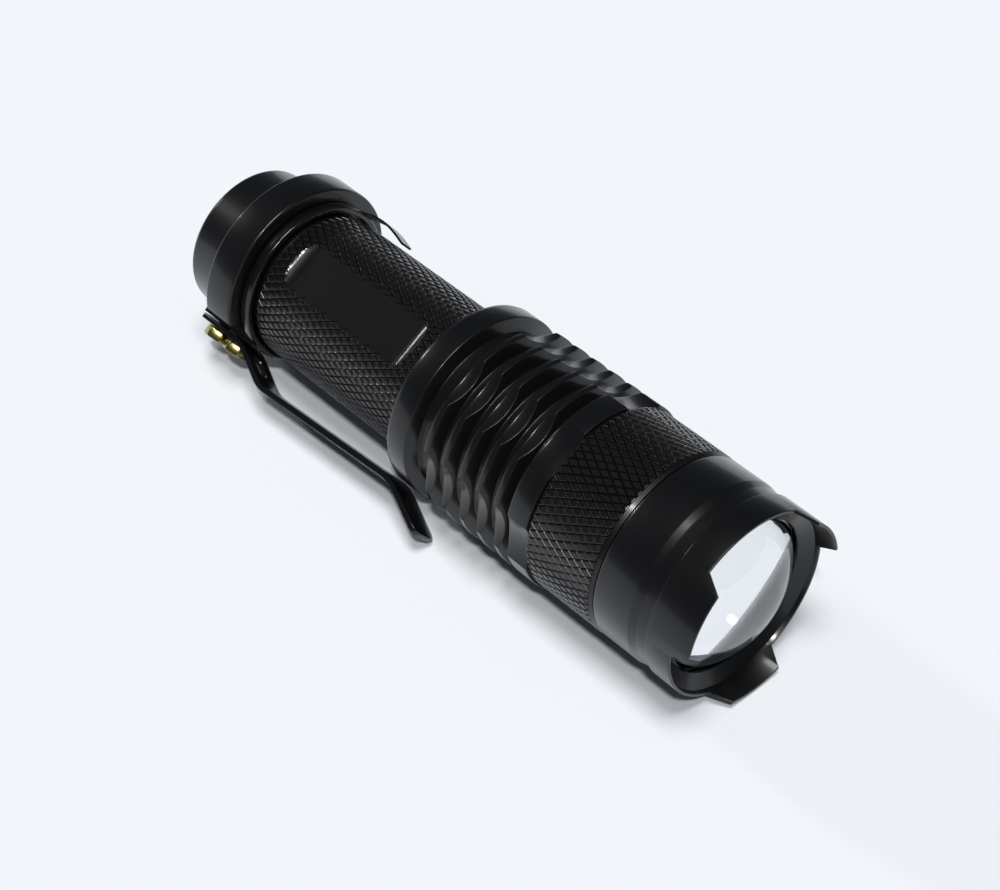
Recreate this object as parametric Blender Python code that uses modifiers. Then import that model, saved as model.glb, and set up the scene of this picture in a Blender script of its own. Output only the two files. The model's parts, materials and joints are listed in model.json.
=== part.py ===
"""Small zoom flashlight: finned sliding head, crown bezel, knurled tube, tail switch and pocket clip.

The light lies on its side with its lens towards +X and +Z up.
The origin is under the middle of its box, on the surface that it lies on.
Lengths along the light are measured from the tail end.
Turned pieces are drawn along the local Z of one empty.
"""

import math

import bmesh
import bpy
from mathutils import Matrix

MM = 0.001

# Turning and fits
SIDES = 36
SMALL_SIDES = 20
WIRE_SIDES = 8
ARC_POINTS = 5
FIT = 0.25 * MM
SEAT_GAP = 0.2 * MM
CHAMFER = 0.4 * MM

# Stations along the light, from the tail end
COLLAR_REAR = 7.0 * MM
COLLAR_FRONT = 11.8 * MM
KNURL_REAR = 14.0 * MM
HEAD_REAR = 42.4 * MM
RING_LENGTH = 3.3 * MM
FIRST_GROOVE = 2.5 * MM
FIN_PITCH = 3.04 * MM
FIN_LAND = 0.85 * MM
FIN_FLANK = 0.65 * MM
FIN_COUNT = 5
FRONT_RING_LENGTH = 3.3 * MM
HEAD_KNURL_LENGTH = 11.0 * MM
BEZEL_LENGTH = 12.0 * MM
TOOTH_HEIGHT = 2.6 * MM

# Outside radii
COLLAR_R = 12.9 * MM
TAIL_R = 10.0 * MM
TUBE_R = 10.2 * MM
FIN_R = 12.9 * MM
GROOVE_R = 11.2 * MM
HEAD_KNURL_R = 12.6 * MM
BEZEL_R = 12.5 * MM

# Battery tube
SLIDE_R = 9.6 * MM
NECK_R = 9.9 * MM
THREAD_R = 9.0 * MM
CELL_BORE_R = 7.5 * MM
TUBE_REAR = 8.8 * MM
TUBE_FRONT = 72.0 * MM
PILL_BORE_R = 8.4 * MM
PILL_BORE_LENGTH = 5.0 * MM
FLAT_ANGLE = 30.0
FLAT_DEPTH = 0.65 * MM
FLAT_REAR = 16.1 * MM
FLAT_FRONT = 39.2 * MM
FLAT_RUNOUT = 1.8 * MM

# O-rings
SEAL_WIRE_R = 0.5 * MM
SEAL_COVER = 13.6 * MM
TAIL_SEAL_INSET = 0.8 * MM
LENS_SEAL_WIRE_R = 0.45 * MM

# Zoom head
ZOOM_TRAVEL = 8.0 * MM
SCALLOPS = 6
SCALLOP_ANGLE = 30.0
SCALLOP_HALF_ANGLE = 15.0
SCALLOP_DEPTH = 1.15 * MM
SCALLOP_RUN_OUT = 0.35 * MM
NOSE_WALL = 1.25 * MM

# Crown bezel and lens
BEZEL_WALL = 1.25 * MM
LIP_OVERLAP = 0.45 * MM
LIP_LENGTH = 0.8 * MM
LIP_FROM_VALLEY = 1.9 * MM
RIM_WALL = 1.2 * MM
COVE_REAR = 5.8 * MM
COVE_FRONT = 8.3 * MM
COVE_DEPTH = 0.3 * MM
TEETH = 3
TOOTH_ANGLE = 60.0
TOOTH_TIP_HALF_ANGLE = 19.0
TOOTH_ROOT_HALF_ANGLE = 26.0
LENS_RIM_LENGTH = 1.8 * MM
LENS_DOME = 3.0 * MM
LENS_BACK_GAP = 0.55 * MM
LENS_BACK_LENGTH = 2.6 * MM
DOME_RINGS = 6

# LED pill and electronics
PILL_FLANGE_R = 9.4 * MM
PILL_FLANGE_LENGTH = 1.2 * MM
PILL_WALL = 1.0 * MM
BOARD_THICKNESS = 1.0 * MM
LED_BOARD_R = 7.0 * MM
LED_SIZE = 3.5 * MM
LED_HEIGHT = 0.8 * MM
LED_DOME_R = 1.4 * MM
CONTACT_R = 2.5 * MM
CONTACT_LENGTH = 0.8 * MM

# AA cell
CELL_R = 7.1 * MM
CELL_LENGTH = 49.2 * MM
CELL_CAP_R = 2.7 * MM
CELL_CAP_LENGTH = 1.2 * MM

# Tail cap and switch
LIP_THICKNESS = 1.5 * MM
BUTTON_HOLE_R = 6.2 * MM
SWITCH_POCKET_R = 8.6 * MM
SWITCH_POCKET_FRONT = 7.0 * MM
BUTTON_RECESS = 0.4 * MM
BOOT_FLANGE = 1.0 * MM
BOOT_WALL = 1.1 * MM
SWITCH_TRAVEL = 1.4 * MM
SWITCH_SIZE = 6.0 * MM
SWITCH_LENGTH = 2.6 * MM
PLUNGER_R = 1.5 * MM
RETAINER_LENGTH = 1.3 * MM
RETAINER_BORE_R = 5.6 * MM
SPRING_WIRE_R = 0.4 * MM
SPRING_R = 4.0 * MM
SPRING_TURNS = 5
SPRING_POINTS = 10

# Pocket clip, its band and its screws
CLIP_ANGLE = 128.0
COLLAR_FLAT = 10.45 * MM
BAND_REAR = 12.1 * MM
BAND_LENGTH = 1.4 * MM
BAND_BORE_R = 10.45 * MM
BAND_R = 11.2 * MM
SHEET = 0.6 * MM
TAB_WIDTH = 5.4 * MM
TAB_REAR = 3.0 * MM
TONGUE_SHEET = 0.35 * MM
TONGUE_WIDTH = 4.0 * MM
TONGUE_BOW = 0.85 * MM
TONGUE_LENGTH = 9.0 * MM
CLIP_SHEET = 0.7 * MM
CLIP_WIDTH = 5.0 * MM
CLIP_RISE_AT = 10.8 * MM
CLIP_RISE_LENGTH = 6.2 * MM
CLIP_BEND = 1.5 * MM
CLIP_SPREAD = 1.15 * MM
CLIP_PINCH_AT = 42.0 * MM
CLIP_FIN_GAP = 0.4 * MM
CLIP_TIP_AT = 49.4 * MM
CLIP_FLARE = 3.35 * MM
SLOT_WIDTH = 1.8 * MM
SLOT_LENGTH = 3.2 * MM
SCREW_R = 0.8 * MM
SCREW_HEAD_R = 1.5 * MM
SCREW_STATIONS = (5.0 * MM, 8.8 * MM)
NUT_ACROSS_FLATS = 3.2 * MM
NUT_HEIGHT = 1.4 * MM
NUT_FIT = 0.15 * MM

# Stations and radii that follow
FINS_REAR = HEAD_REAR + RING_LENGTH + FIRST_GROOVE
FRONT_RING_REAR = FINS_REAR + FIN_COUNT * FIN_PITCH
FRONT_RING_FRONT = FRONT_RING_REAR + FRONT_RING_LENGTH
BEZEL_REAR = FRONT_RING_FRONT + HEAD_KNURL_LENGTH
VALLEY = BEZEL_REAR + BEZEL_LENGTH
TIP = VALLEY + TOOTH_HEIGHT
LENS_LIP = VALLEY - LIP_FROM_VALLEY
NOSE_R = BEZEL_R - BEZEL_WALL - FIT
NOSE_BORE_R = NOSE_R - NOSE_WALL
LENS_R = NOSE_R - FIT
LENS_BACK_R = NOSE_BORE_R - LENS_BACK_GAP
LIP_R = LENS_R - LIP_OVERLAP
MOUTH_R = BEZEL_R - RIM_WALL
LENS_RIM_FRONT = LENS_LIP - SEAT_GAP
LENS_RIM_REAR = LENS_RIM_FRONT - LENS_RIM_LENGTH
LENS_SEAL_AT = LENS_RIM_REAR - SEAT_GAP - LENS_SEAL_WIRE_R
NOSE_FRONT = LENS_SEAL_AT - LENS_SEAL_WIRE_R - SEAT_GAP
HEAD_BORE_R = SLIDE_R + FIT
HEAD_SEAL_AT = HEAD_REAR + ZOOM_TRAVEL + SEAL_COVER
TAIL_SEAL_AT = COLLAR_FRONT - TAIL_SEAL_INSET
BOARD_FRONT = SWITCH_POCKET_FRONT - SEAT_GAP
AXIS_HEIGHT = max(COLLAR_R, FIN_R) * math.cos(math.pi / SIDES)
TAB_INNER = COLLAR_FLAT + SEAT_GAP
CLIP_INNER = TAB_INNER + SHEET + SEAT_GAP
CLIP_OUTER = CLIP_INNER + CLIP_SHEET
CLIP_PINCH = FIN_R + CLIP_FIN_GAP + CLIP_SHEET / 2
CLIP_STAND_OFF = CLIP_PINCH + CLIP_SPREAD
CLIP_TIP = CLIP_PINCH + CLIP_FLARE


def principled(name, colour, roughness, metallic):
    """A material with one Principled shader; the colour is linear RGB."""
    material = bpy.data.materials.new(name)
    material.use_nodes = True
    shader = material.node_tree.nodes["Principled BSDF"]
    shader.inputs["Base Color"].default_value = (*colour, 1.0)
    shader.inputs["Roughness"].default_value = roughness
    shader.inputs["Metallic"].default_value = metallic
    return material


def clear_scene():
    for old in list(bpy.data.objects):
        bpy.data.objects.remove(old)


def new_collection(name):
    collection = bpy.data.collections.new(name)
    bpy.context.scene.collection.children.link(collection)
    return collection


clear_scene()
PARTS = new_collection("zoom_flashlight")
CUTTERS = new_collection("cutters")

ANODISED = principled("black_anodised_aluminium", (0.012, 0.012, 0.013), 0.42, 0.6)
BARE_ALUMINIUM = principled("bare_aluminium", (0.62, 0.63, 0.65), 0.35, 1.0)
SPRING_STEEL = principled("black_spring_steel", (0.01, 0.01, 0.011), 0.22, 0.7)
BRASS = principled("brass", (0.55, 0.44, 0.16), 0.3, 1.0)
RUBBER = principled("black_rubber", (0.015, 0.015, 0.015), 0.7, 0.0)
GLASS = principled("clear_acrylic", (0.9, 0.92, 0.93), 0.05, 0.0)
BOARD = principled("circuit_board", (0.02, 0.12, 0.05), 0.5, 0.0)
SWITCH_PLASTIC = principled("switch_plastic", (0.03, 0.03, 0.03), 0.5, 0.0)
PHOSPHOR = principled("phosphor", (0.8, 0.65, 0.12), 0.4, 0.0)
CELL_JACKET = principled("cell_jacket", (0.05, 0.09, 0.2), 0.35, 0.2)

AXIS = bpy.data.objects.new("light_axis", None)
PARTS.objects.link(AXIS)


def place(obj, material=None, angle=0.0):
    """Hang an object on the light's axis, turned about it; with no material it is a cutter."""
    obj.parent = AXIS
    obj.rotation_euler = (0.0, 0.0, math.radians(angle + 180.0))
    if material is None:
        obj.hide_render = True
        obj.display_type = "WIRE"
        CUTTERS.objects.link(obj)
    else:
        obj.data.materials.append(material)
        PARTS.objects.link(obj)
    return obj


def turned(name, outer, inner, material, sides=SIDES):
    """Turn a profile about the axis. outer and inner hold (station, radius) from tail to head;
    with no inner line the piece is solid to the axis."""
    if inner is None:
        line = [(outer[-1][0], 0.0), *reversed(outer), (outer[0][0], 0.0)]
    else:
        line = [*reversed(outer), *inner]
    half_step = math.pi / sides
    mesh = bpy.data.meshes.new(name)
    shape = bmesh.new()
    points = [
        shape.verts.new((r * math.cos(half_step), r * math.sin(half_step), z))
        for z, r in line
    ]
    for first, second in zip(points, points[1:]):
        shape.edges.new((first, second))
    if inner is not None:
        shape.edges.new((points[-1], points[0]))
    shape.to_mesh(mesh)
    shape.free()
    obj = bpy.data.objects.new(name, mesh)
    spin = obj.modifiers.new("turn", "SCREW")
    spin.axis = "Z"
    spin.steps = sides
    spin.render_steps = sides
    spin.use_merge_vertices = True
    spin.merge_threshold = 0.000001
    return place(obj, material)


def ring(name, station, radius, wire, material):
    """A round-section ring with its middle at a station and a radius."""
    turns = [2 * math.pi * k / WIRE_SIDES for k in range(WIRE_SIDES)]
    around = [(station + wire * math.sin(a), radius + wire * math.cos(a)) for a in turns]
    return turned(name, around, [], material)


def dome(base, radius, height):
    """Profile of a dome that stands on a base station."""
    quarter = [math.pi / 2 * k / DOME_RINGS for k in range(DOME_RINGS)]
    return [(base + height * math.sin(a), radius * math.cos(a)) for a in quarter]


def plate(name, outline, depth, to_frame, material=None, angle=0.0, middle=0.0):
    """Extrude a flat outline to a mesh, its depth centred at middle;
    to_frame turns the outline's X and Y and the depth to radial, across and along."""
    curve = bpy.data.curves.new(name + "_outline", "CURVE")
    curve.dimensions = "2D"
    curve.fill_mode = "BOTH"
    curve.extrude = depth / 2
    spline = curve.splines.new("POLY")
    spline.points.add(len(outline) - 1)
    for point, (x, y) in zip(spline.points, outline):
        point.co = (x, y, 0.0, 1.0)
    spline.use_cyclic_u = True
    guide = bpy.data.objects.new(name + "_outline", curve)
    CUTTERS.objects.link(guide)
    graph = bpy.context.evaluated_depsgraph_get()
    mesh = bpy.data.meshes.new_from_object(guide.evaluated_get(graph))
    bpy.data.objects.remove(guide)
    shape = bmesh.new()
    shape.from_mesh(mesh)
    bmesh.ops.remove_doubles(shape, verts=shape.verts, dist=0.000001)
    bmesh.ops.translate(shape, vec=(0.0, 0.0, middle), verts=shape.verts)
    bmesh.ops.transform(shape, matrix=to_frame, verts=shape.verts)
    bmesh.ops.recalc_face_normals(shape, faces=shape.faces)
    shape.to_mesh(mesh)
    shape.free()
    mesh.name = name
    return place(bpy.data.objects.new(name, mesh), material, angle)


# Outlines drawn as (along, radial) or as (across, along)
SIDE_VIEW = Matrix(((0, 1, 0, 0), (0, 0, 1, 0), (1, 0, 0, 0), (0, 0, 0, 1)))
FACE_VIEW = Matrix(((0, 0, 1, 0), (1, 0, 0, 0), (0, 1, 0, 0), (0, 0, 0, 1)))


def ribbon(path, thickness):
    """The closed outline of a bent sheet whose middle follows a path."""
    sides = ([], [])
    for index, (x, y) in enumerate(path):
        before = path[max(index - 1, 0)]
        after = path[min(index + 1, len(path) - 1)]
        into = math.atan2(y - before[1], x - before[0]) if index else None
        out = math.atan2(after[1] - y, after[0] - x) if index < len(path) - 1 else into
        into = out if into is None else into
        turn = (into + out) / 2
        reach = thickness / 2 / math.cos((out - into) / 2)
        sides[0].append((x - reach * math.sin(turn), y + reach * math.cos(turn)))
        sides[1].append((x + reach * math.sin(turn), y - reach * math.cos(turn)))
    return sides[0] + sides[1][::-1]


def cut(target, *cutters):
    for cutter in cutters:
        boolean = target.modifiers.new("cut_" + cutter.name, "BOOLEAN")
        boolean.operation = "DIFFERENCE"
        boolean.object = cutter


def join(target, *pieces):
    for piece in pieces:
        boolean = target.modifiers.new("join_" + piece.name, "BOOLEAN")
        boolean.operation = "UNION"
        boolean.object = piece


def radial_cylinder(name, station, inner, outer, inner_r, outer_r, sides, material=None):
    """A round bar or cone standing out from the axis at the clip's angle."""
    mesh = bpy.data.meshes.new(name)
    shape = bmesh.new()
    bmesh.ops.create_cone(
        shape, cap_ends=True, segments=sides, radius1=inner_r, radius2=outer_r, depth=outer - inner
    )
    stand = Matrix.Translation(((inner + outer) / 2, 0.0, station)) @ Matrix.Rotation(math.pi / 2, 4, "Y")
    bmesh.ops.transform(shape, matrix=stand, verts=shape.verts)
    shape.to_mesh(mesh)
    shape.free()
    return place(bpy.data.objects.new(name, mesh), material, CLIP_ANGLE)


def axial_cylinder(name, radius, distance, rear, front, angle, sides):
    """A cutter bar alongside the axis, at a distance and an angle from it."""
    mesh = bpy.data.meshes.new(name)
    shape = bmesh.new()
    bmesh.ops.create_cone(
        shape, cap_ends=True, segments=sides, radius1=radius, radius2=radius, depth=front - rear
    )
    bmesh.ops.translate(shape, vec=(distance, 0.0, (rear + front) / 2), verts=shape.verts)
    shape.to_mesh(mesh)
    shape.free()
    return place(bpy.data.objects.new(name, mesh), None, angle)


def block(name, rear, front, size, material):
    """A square block standing on the axis."""
    mesh = bpy.data.meshes.new(name)
    shape = bmesh.new()
    bmesh.ops.create_cube(shape, size=1.0)
    bmesh.ops.scale(shape, vec=(size, size, front - rear), verts=shape.verts)
    bmesh.ops.translate(shape, vec=(0.0, 0.0, (rear + front) / 2), verts=shape.verts)
    shape.to_mesh(mesh)
    shape.free()
    return place(bpy.data.objects.new(name, mesh), material)


def make_battery_tube():
    """Tube with a threaded tail, a plain slide for the head and two milled flats, and its seals."""
    seal_floor = HEAD_BORE_R - 2 * SEAL_WIRE_R - FIT
    tail_seal_floor = THREAD_R + FIT - 2 * SEAL_WIRE_R - FIT
    head_seal = HEAD_SEAL_AT - SEAL_WIRE_R - FIT, HEAD_SEAL_AT + SEAL_WIRE_R + FIT
    tail_seal = TAIL_SEAL_AT - SEAL_WIRE_R - FIT, TAIL_SEAL_AT + SEAL_WIRE_R + FIT
    knurl_front = HEAD_REAR - FIT
    outer = [
        (TUBE_REAR, THREAD_R - CHAMFER),
        (TUBE_REAR + CHAMFER, THREAD_R),
        (tail_seal[0], THREAD_R),
        (tail_seal[0], tail_seal_floor),
        (tail_seal[1], tail_seal_floor),
        (tail_seal[1], THREAD_R),
        (COLLAR_FRONT + SEAT_GAP, THREAD_R),
        (COLLAR_FRONT + SEAT_GAP, NECK_R),
        (KNURL_REAR - CHAMFER, NECK_R),
        (KNURL_REAR, TUBE_R),
        (knurl_front - CHAMFER, TUBE_R),
        (knurl_front, SLIDE_R),
        (head_seal[0], SLIDE_R),
        (head_seal[0], seal_floor),
        (head_seal[1], seal_floor),
        (head_seal[1], SLIDE_R),
        (TUBE_FRONT, SLIDE_R),
    ]
    shoulder = TUBE_FRONT - PILL_BORE_LENGTH
    inner = [
        (TUBE_REAR, CELL_BORE_R),
        (shoulder, CELL_BORE_R),
        (shoulder, PILL_BORE_R),
        (TUBE_FRONT, PILL_BORE_R),
    ]
    tube = turned("battery_tube", outer, inner, ANODISED)
    floor = TUBE_R - FLAT_DEPTH
    mill_r = (FLAT_RUNOUT**2 + FLAT_DEPTH**2) / (2 * FLAT_DEPTH)
    swing = math.asin(FLAT_RUNOUT / mill_r)
    runout = [
        (mill_r * math.sin(swing * k / ARC_POINTS), floor + mill_r * (1 - math.cos(swing * k / ARC_POINTS)))
        for k in range(ARC_POINTS + 1)
    ]
    rear = [(FLAT_REAR + FLAT_RUNOUT - x, y) for x, y in reversed(runout)]
    front = [(FLAT_FRONT - FLAT_RUNOUT + x, y) for x, y in runout]
    above = TUBE_R + FLAT_DEPTH
    outline = [(FLAT_REAR, above), *rear, *front, (FLAT_FRONT, above)]
    for name, angle in (("upper_flat", FLAT_ANGLE), ("lower_flat", FLAT_ANGLE + 180.0)):
        cut(tube, plate(name, outline, 2 * above, SIDE_VIEW, None, angle))
    ring("head_o_ring", HEAD_SEAL_AT, seal_floor + FIT / 2 + SEAL_WIRE_R, SEAL_WIRE_R, RUBBER)
    ring("tail_o_ring", TAIL_SEAL_AT, tail_seal_floor + FIT / 2 + SEAL_WIRE_R, SEAL_WIRE_R, RUBBER)


def make_zoom_head():
    """One turned sleeve: full ring, scalloped fins, grip and a threaded nose for the bezel."""
    ring_front = HEAD_REAR + RING_LENGTH
    outer = [
        (HEAD_REAR, FIN_R - CHAMFER),
        (HEAD_REAR + CHAMFER, FIN_R),
        (ring_front, FIN_R),
        (ring_front + FIN_FLANK, GROOVE_R),
    ]
    for index in range(FIN_COUNT):
        rear = FINS_REAR + index * FIN_PITCH
        front = rear + FIN_LAND
        outer += [
            (rear - FIN_FLANK, GROOVE_R),
            (rear, FIN_R),
            (front, FIN_R),
            (front + FIN_FLANK, GROOVE_R),
        ]
    outer += [
        (FRONT_RING_REAR - FIN_FLANK, GROOVE_R),
        (FRONT_RING_REAR, FIN_R),
        (FRONT_RING_FRONT, FIN_R),
        (FRONT_RING_FRONT, HEAD_KNURL_R),
        (BEZEL_REAR - SEAT_GAP, HEAD_KNURL_R),
        (BEZEL_REAR - SEAT_GAP, NOSE_R),
        (NOSE_FRONT, NOSE_R),
    ]
    nose_step = BEZEL_REAR - NOSE_WALL
    inner = [
        (HEAD_REAR, HEAD_BORE_R),
        (nose_step, HEAD_BORE_R),
        (nose_step, NOSE_BORE_R),
        (NOSE_FRONT, NOSE_BORE_R),
    ]
    head = turned("zoom_head", outer, inner, ANODISED)
    half = math.radians(SCALLOP_HALF_ANGLE)
    bottom = FIN_R - SCALLOP_DEPTH
    distance = (FIN_R**2 - bottom**2) / (2 * (FIN_R * math.cos(half) - bottom))
    for index in range(SCALLOPS):
        bar = axial_cylinder(
            f"scallop_{index}",
            distance - bottom,
            distance,
            ring_front + FIRST_GROOVE / 2,
            FRONT_RING_FRONT + SCALLOP_RUN_OUT,
            SCALLOP_ANGLE + 360.0 / SCALLOPS * index,
            SMALL_SIDES,
        )
        cut(head, bar)


def make_crown_bezel():
    """Bezel screwed over the head's nose: cove line, lens lip and three teeth."""
    cove = BEZEL_REAR + COVE_REAR, BEZEL_REAR + COVE_FRONT
    outer = [
        (BEZEL_REAR, BEZEL_R - CHAMFER),
        (BEZEL_REAR + CHAMFER, BEZEL_R),
        (cove[0], BEZEL_R),
        (cove[1], BEZEL_R - COVE_DEPTH),
        (cove[1] + COVE_DEPTH, BEZEL_R),
        (TIP, BEZEL_R),
    ]
    inner = [
        (BEZEL_REAR, NOSE_R + FIT),
        (LENS_LIP, NOSE_R + FIT),
        (LENS_LIP, LIP_R),
        (LENS_LIP + LIP_LENGTH, LIP_R),
        (VALLEY, MOUTH_R),
        (TIP, MOUTH_R),
    ]
    bezel = turned("crown_bezel", outer, inner, ANODISED)
    pitch = 360.0 / TEETH
    floor_half = BEZEL_R * math.sin(math.radians(pitch / 2 - TOOTH_ROOT_HALF_ANGLE))
    tip_half = BEZEL_R * math.sin(math.radians(pitch / 2 - TOOTH_TIP_HALF_ANGLE))
    past_tip = TIP + TOOTH_HEIGHT
    past_half = tip_half + (tip_half - floor_half)
    outline = [(-floor_half, VALLEY), (floor_half, VALLEY), (past_half, past_tip), (-past_half, past_tip)]
    for index in range(TEETH):
        angle = TOOTH_ANGLE + pitch / 2 + pitch * index
        cut(bezel, plate(f"valley_{index}", outline, 2 * BEZEL_R, FACE_VIEW, None, angle, BEZEL_R))


def make_lens():
    """Plano-convex lens held behind the lip, and the O-ring that presses it there."""
    outer = [
        (LENS_RIM_REAR - LENS_BACK_LENGTH, LENS_BACK_R),
        (LENS_RIM_REAR, LENS_BACK_R),
        (LENS_RIM_REAR, LENS_R),
        (LENS_RIM_FRONT, LENS_R),
        *dome(LENS_RIM_FRONT, LIP_R - FIT, LENS_DOME),
    ]
    turned("lens", outer, None, GLASS)
    ring("lens_o_ring", LENS_SEAL_AT, (LENS_R + LENS_BACK_R) / 2 + SEAT_GAP, LENS_SEAL_WIRE_R, RUBBER)


def make_pill():
    """Heat-sink cup in the front of the tube with the driver behind it and the LED on its face.
    Returns where the driver's contact meets the cell."""
    front = TUBE_FRONT + SEAT_GAP + PILL_FLANGE_LENGTH
    rear = TUBE_FRONT - PILL_BORE_LENGTH + 2 * SEAT_GAP + BOARD_THICKNESS
    body_r = PILL_BORE_R - FIT
    outer = [
        (rear, body_r),
        (TUBE_FRONT + SEAT_GAP, body_r),
        (TUBE_FRONT + SEAT_GAP, PILL_FLANGE_R),
        (front, PILL_FLANGE_R),
    ]
    inner = [
        (rear, body_r - PILL_WALL),
        (TUBE_FRONT, body_r - PILL_WALL),
        (TUBE_FRONT, CONTACT_R),
        (front, CONTACT_R),
    ]
    turned("led_pill", outer, inner, BARE_ALUMINIUM)
    board = rear - SEAT_GAP - BOARD_THICKNESS, rear - SEAT_GAP
    turned("driver_board", [(board[0], body_r), (board[1], body_r)], None, BOARD)
    contact = board[0] - SEAT_GAP - CONTACT_LENGTH, board[0] - SEAT_GAP
    turned("driver_contact", [(contact[0], CONTACT_R), (contact[1], CONTACT_R)], None, BRASS, SMALL_SIDES)
    star = front + SEAT_GAP, front + SEAT_GAP + BOARD_THICKNESS
    turned("led_board", [(star[0], LED_BOARD_R), (star[1], LED_BOARD_R)], None, BOARD)
    chip = star[1] + SEAT_GAP, star[1] + SEAT_GAP + LED_HEIGHT
    block("led_emitter", chip[0], chip[1], LED_SIZE, PHOSPHOR)
    turned("led_dome", dome(chip[1] + SEAT_GAP, LED_DOME_R, LED_DOME_R), None, GLASS, SMALL_SIDES)
    return contact[0]


def make_cell(contact):
    """One AA cell, its raised cap against the driver's contact. Returns where its tail end is."""
    front = contact - SEAT_GAP - CELL_CAP_LENGTH
    rear = front - CELL_LENGTH
    outer = [
        (rear, CELL_R - CHAMFER),
        (rear + CHAMFER, CELL_R),
        (front - CHAMFER, CELL_R),
        (front, CELL_R - CHAMFER),
        (front, CELL_CAP_R),
        (front + CELL_CAP_LENGTH, CELL_CAP_R),
    ]
    turned("aa_cell", outer, None, CELL_JACKET)
    return rear


def make_tail_cap():
    """Tail cap with its collar, bored for the switch and the tube's thread, flat under the clip."""
    outer = [
        (0.0, TAIL_R - CHAMFER),
        (CHAMFER, TAIL_R),
        (COLLAR_REAR, TAIL_R),
        (COLLAR_REAR, COLLAR_R - CHAMFER),
        (COLLAR_REAR + CHAMFER, COLLAR_R),
        (COLLAR_FRONT - CHAMFER, COLLAR_R),
        (COLLAR_FRONT, COLLAR_R - CHAMFER),
    ]
    inner = [
        (0.0, BUTTON_HOLE_R),
        (LIP_THICKNESS, BUTTON_HOLE_R),
        (LIP_THICKNESS, SWITCH_POCKET_R),
        (SWITCH_POCKET_FRONT, SWITCH_POCKET_R),
        (SWITCH_POCKET_FRONT, THREAD_R + FIT),
        (COLLAR_FRONT - CHAMFER, THREAD_R + FIT),
        (COLLAR_FRONT, THREAD_R + FIT + CHAMFER),
    ]
    cap = turned("tail_cap", outer, inner, ANODISED)
    outline = [
        (COLLAR_REAR - SEAT_GAP, COLLAR_FLAT),
        (COLLAR_FRONT + SEAT_GAP, COLLAR_FLAT),
        (COLLAR_FRONT + SEAT_GAP, 2 * COLLAR_R),
        (COLLAR_REAR - SEAT_GAP, 2 * COLLAR_R),
    ]
    cut(cap, plate("collar_flat", outline, 2 * COLLAR_R, SIDE_VIEW, None, CLIP_ANGLE))


def make_switch():
    """Rubber boot, plunger, click switch on its board, and the threaded ring that holds them in."""
    boot_r = SWITCH_POCKET_R - FIT
    button_r = BUTTON_HOLE_R - FIT
    flange_rear = LIP_THICKNESS + SEAT_GAP
    flange_front = flange_rear + BOOT_FLANGE
    outer = [
        (BUTTON_RECESS, button_r - CHAMFER),
        (BUTTON_RECESS + CHAMFER, button_r),
        (flange_rear, button_r),
        (flange_rear, boot_r),
        (flange_front, boot_r),
    ]
    hollow = turned(
        "boot_hollow",
        [(BUTTON_RECESS + BOOT_WALL, button_r - BOOT_WALL), (2 * flange_front, button_r - BOOT_WALL)],
        None,
        None,
    )
    cut(turned("switch_boot", outer, None, RUBBER), hollow)
    switch_front = BOARD_FRONT - BOARD_THICKNESS - SEAT_GAP
    switch_rear = switch_front - SWITCH_LENGTH
    plunger_rear = BUTTON_RECESS + BOOT_WALL + SEAT_GAP
    plunger_front = switch_front - SWITCH_TRAVEL - SEAT_GAP
    turned(
        "switch_plunger",
        [(plunger_rear, PLUNGER_R), (plunger_front, PLUNGER_R)],
        None,
        SWITCH_PLASTIC,
        SMALL_SIDES,
    )
    well = turned(
        "plunger_well",
        [(switch_rear - SWITCH_TRAVEL, PLUNGER_R + FIT), (2 * switch_front, PLUNGER_R + FIT)],
        None,
        None,
        SMALL_SIDES,
    )
    cut(block("switch_body", switch_rear, switch_front, SWITCH_SIZE, SWITCH_PLASTIC), well)
    board_rear = BOARD_FRONT - BOARD_THICKNESS
    turned("switch_board", [(board_rear, boot_r), (BOARD_FRONT, boot_r)], None, BOARD)
    retainer = BOARD_FRONT + SEAT_GAP, BOARD_FRONT + SEAT_GAP + RETAINER_LENGTH
    turned(
        "switch_retainer",
        [(retainer[0], boot_r), (retainer[1], boot_r)],
        [(retainer[0], RETAINER_BORE_R), (retainer[1], RETAINER_BORE_R)],
        BARE_ALUMINIUM,
    )


def make_tail_spring(cell_rear):
    """Contact spring from the switch board to the cell, one wire from end to end."""
    rear = BOARD_FRONT + SEAT_GAP + SPRING_WIRE_R
    front = cell_rear - SEAT_GAP - SPRING_WIRE_R
    count = SPRING_TURNS * SPRING_POINTS + 1
    curve = bpy.data.curves.new("tail_spring", "CURVE")
    curve.dimensions = "3D"
    curve.bevel_depth = SPRING_WIRE_R
    curve.bevel_resolution = 1
    curve.use_fill_caps = True
    spline = curve.splines.new("POLY")
    spline.points.add(count - 1)
    points = []
    for index, point in enumerate(spline.points):
        turn = 2 * math.pi * index / SPRING_POINTS
        along = rear + (front - rear) * index / (count - 1)
        points.append((SPRING_R * math.cos(turn), SPRING_R * math.sin(turn), along))
        point.co = (*points[-1], 1.0)
    gaps = [
        math.dist(points[i], points[j]) - 2 * SPRING_WIRE_R
        for i in range(count)
        for j in range(i + SPRING_POINTS // 2, count)
    ]
    print(f"tail_spring least gap to itself: {min(gaps) / MM:.2f} mm")
    place(bpy.data.objects.new("tail_spring", curve), BRASS)


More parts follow.
